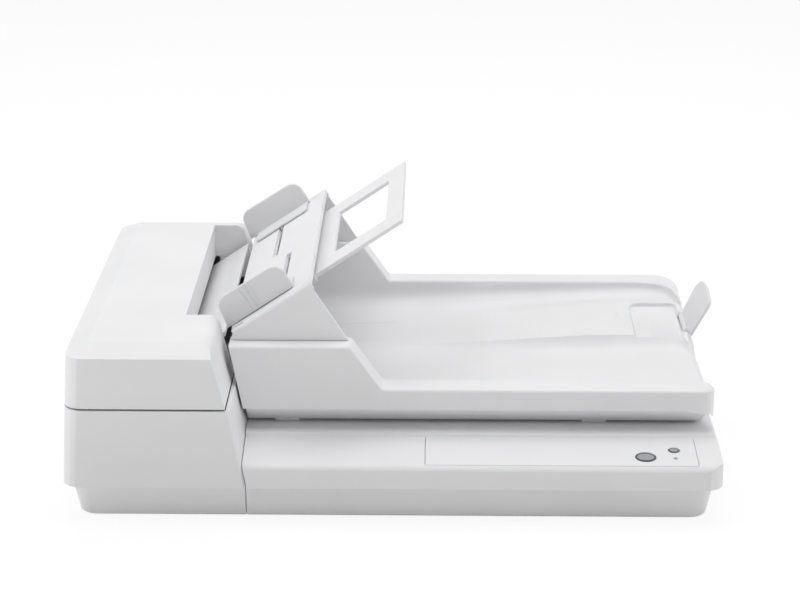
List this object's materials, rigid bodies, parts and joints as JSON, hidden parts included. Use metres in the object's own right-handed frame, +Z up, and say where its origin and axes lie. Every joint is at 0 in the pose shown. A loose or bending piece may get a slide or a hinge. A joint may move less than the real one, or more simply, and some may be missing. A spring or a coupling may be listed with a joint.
{
  "type": "document scanner",
  "caption": "Flatbed document scanner with a sheet feeder tower, a lifting cover, a sloping paper chute with side guides, a pull-out tray and a flip-up stopper.",
  "frame": {"origin": "middle of the object's box on the surface it stands on", "axes": "+X to the right along the flatbed seen from the front, +Y to the back, +Z up"},
  "size_m": [0.4624, 0.318, 0.1868],
  "materials": {
    "body_plastic": "fine matte off-white moulding",
    "guide_plastic": "fine matte light grey moulding",
    "button_plastic": "satin grey cap",
    "black_plastic": "matte black moulding",
    "gear_plastic": "natural moulded plastic",
    "rubber": "matte black rubber",
    "roller_rubber": "fine ground rubber",
    "white_foam": "white foam and film",
    "glass": "clear polished sheet",
    "steel": "bright ground steel",
    "circuit_board": "green board lacquer",
    "lamp_lens": "tinted clear lens"
  },
  "bodies": {
    "base": {"bottom_tray": "body_plastic", "tower_shell": "body_plastic", "bed_shell": "body_plastic", "document_glass": "glass", "operator_panel": "body_plastic", "status_led": "lamp_lens", "foot_front_left": "rubber", "foot_front_right": "rubber", "foot_back_left": "rubber", "foot_back_right": "rubber", "carriage_rail": "steel", "carriage_belt": "rubber", "carriage_motor": "steel", "main_board": "circuit_board", "power_socket": "black_plastic", "usb_socket": "steel", "feeder_frame": "black_plastic", "feed_ramp": "body_plastic", "turn_guide": "black_plastic", "lower_paper_guide": "black_plastic", "front_image_sensor": "black_plastic", "back_image_sensor": "black_plastic", "feeder_motor": "steel", "feeder_belt": "rubber", "cover_hinge_pin": "steel", "hinge_post_left": "black_plastic", "hinge_post_right": "black_plastic", "hinge_pin_left": "steel", "hinge_pin_right": "steel"},
    "scan_button": {"scan_button": "button_plastic"},
    "power_button": {"power_button": "button_plastic"},
    "scan_carriage": {"scan_carriage": "black_plastic"},
    "drive_pulley": {"drive_pulley": "gear_plastic"},
    "idler_pulley": {"idler_pulley": "gear_plastic"},
    "feed_drum": {"feed_drum": "roller_rubber", "drum_pulley": "gear_plastic"},
    "lower_pinch_roller": {"lower_pinch_roller": "roller_rubber"},
    "exit_roller": {"exit_roller": "roller_rubber", "exit_pulley": "gear_plastic"},
    "motor_pulley": {"motor_pulley": "gear_plastic"},
    "separation_roller": {"separation_roller": "roller_rubber"},
    "feeder_cover": {"feeder_cover": "body_plastic", "cover_frame": "black_plastic"},
    "pick_roller": {"pick_roller": "roller_rubber"},
    "upper_pinch_roller": {"upper_pinch_roller": "roller_rubber"},
    "document_cover": {"document_cover": "body_plastic", "cover_lower_frame": "guide_plastic", "document_pad": "white_foam", "bumper_left": "white_foam", "bumper_right": "white_foam", "hinge_arm_left": "black_plastic", "hinge_arm_right": "black_plastic", "stopper_pin": "steel", "chute_hinge_rod": "steel"},
    "paper_chute": {"paper_chute": "body_plastic"},
    "chute_extension": {"chute_extension": "body_plastic"},
    "front_guide": {"front_guide": "guide_plastic"},
    "back_guide": {"back_guide": "guide_plastic"},
    "guide_pinion": {"guide_pinion": "gear_plastic"},
    "stopper": {"stopper": "guide_plastic"}
  },
  "joints": [
    {"name": "lid_hinge", "type": "hinge", "parent": "base", "child": "document_cover", "pos_m": [0, 0.151, 0.057], "axis": [-1, 0, 0], "range_deg": [0, 80]},
    {"name": "feeder_cover_hinge", "type": "hinge", "parent": "base", "child": "feeder_cover", "pos_m": [-0.2262, 0, 0.0854], "axis": [0, -1, 0], "range_deg": [0, 70]},
    {"name": "chute_lift", "type": "hinge", "parent": "document_cover", "child": "paper_chute", "pos_m": [-0.114, 0.025, 0.1134], "axis": [0, -1, 0], "range_deg": [0, 30]},
    {"name": "chute_extension_slide", "type": "slide", "parent": "paper_chute", "child": "chute_extension", "axis": [-0.832, 0, -0.5548], "range_m": [0, 0.054]},
    {"name": "front_guide_slide", "type": "slide", "parent": "paper_chute", "child": "front_guide", "axis": [0, 1, 0], "range_m": [-0.0025, 0.075]},
    {"name": "back_guide_slide", "type": "slide", "parent": "paper_chute", "child": "back_guide", "axis": [0, -1, 0], "range_m": [-0.0025, 0.075]},
    {"name": "guide_pinion_spin", "type": "hinge", "parent": "paper_chute", "child": "guide_pinion", "pos_m": [-0.08604, 0.025, 0.13122], "axis": [-0.5548, 0, 0.832], "range_deg": [-27, 782]},
    {"name": "stopper_hinge", "type": "hinge", "parent": "document_cover", "child": "stopper", "pos_m": [0.2144, 0.044, 0.0774], "axis": [0, -1, 0], "range_deg": [0, 117]},
    {"name": "scan_button_press", "type": "slide", "parent": "base", "child": "scan_button", "axis": [0, 0, -1], "range_m": [0, 0.0008], "stiffness_N_per_m": 300, "springref_m": -0.001},
    {"name": "power_button_press", "type": "slide", "parent": "base", "child": "power_button", "axis": [0, 0, -1], "range_m": [0, 0.0008], "stiffness_N_per_m": 300, "springref_m": -0.001},
    {"name": "carriage_slide", "type": "slide", "parent": "base", "child": "scan_carriage", "axis": [1, 0, 0], "range_m": [0, 0.29]},
    {"name": "drive_pulley_spin", "type": "hinge", "parent": "base", "child": "drive_pulley", "pos_m": [-0.092, 0.056, 0.023], "axis": [0, 1, 0], "continuous": true},
    {"name": "idler_pulley_spin", "type": "hinge", "parent": "base", "child": "idler_pulley", "pos_m": [0.204, 0.056, 0.023], "axis": [0, 1, 0], "continuous": true},
    {"name": "feed_drum_spin", "type": "hinge", "parent": "base", "child": "feed_drum", "pos_m": [-0.194, 0.025, 0.078], "axis": [0, -1, 0], "continuous": true},
    {"name": "lower_pinch_spin", "type": "hinge", "parent": "base", "child": "lower_pinch_roller", "pos_m": [-0.194, 0.025, 0.0576], "axis": [0, -1, 0], "continuous": true},
    {"name": "exit_roller_spin", "type": "hinge", "parent": "base", "child": "exit_roller", "pos_m": [-0.126, 0.025, 0.0714], "axis": [0, -1, 0], "continuous": true},
    {"name": "motor_pulley_spin", "type": "hinge", "parent": "base", "child": "motor_pulley", "pos_m": [-0.15, 0.144, 0.033], "axis": [0, -1, 0], "continuous": true},
    {"name": "separation_roller_spin", "type": "hinge", "parent": "base", "child": "separation_roller", "pos_m": [-0.1645, 0.025, 0.0826], "axis": [0, -1, 0], "continuous": true},
    {"name": "pick_roller_spin", "type": "hinge", "parent": "feeder_cover", "child": "pick_roller", "pos_m": [-0.1645, 0.025, 0.1034], "axis": [0, -1, 0], "continuous": true},
    {"name": "upper_pinch_spin", "type": "hinge", "parent": "feeder_cover", "child": "upper_pinch_roller", "pos_m": [-0.194, 0.025, 0.0984], "axis": [0, -1, 0], "continuous": true}
  ],
  "couplings": [
    {"joint": "back_guide_slide", "follows": "front_guide_slide", "ratio": 1},
    {"joint": "guide_pinion_spin", "follows": "front_guide_slide", "rad_per_m": 181.82},
    {"joint": "drive_pulley_spin", "follows": "carriage_slide", "rad_per_m": 149.25},
    {"joint": "idler_pulley_spin", "follows": "carriage_slide", "rad_per_m": 149.25},
    {"joint": "lower_pinch_spin", "follows": "feed_drum_spin", "ratio": -2.2667},
    {"joint": "exit_roller_spin", "follows": "feed_drum_spin", "ratio": 2},
    {"joint": "motor_pulley_spin", "follows": "feed_drum_spin", "ratio": 2.3333},
    {"joint": "pick_roller_spin", "follows": "feed_drum_spin", "ratio": -1.2364},
    {"joint": "upper_pinch_spin", "follows": "feed_drum_spin", "ratio": -2.2667}
  ]
}
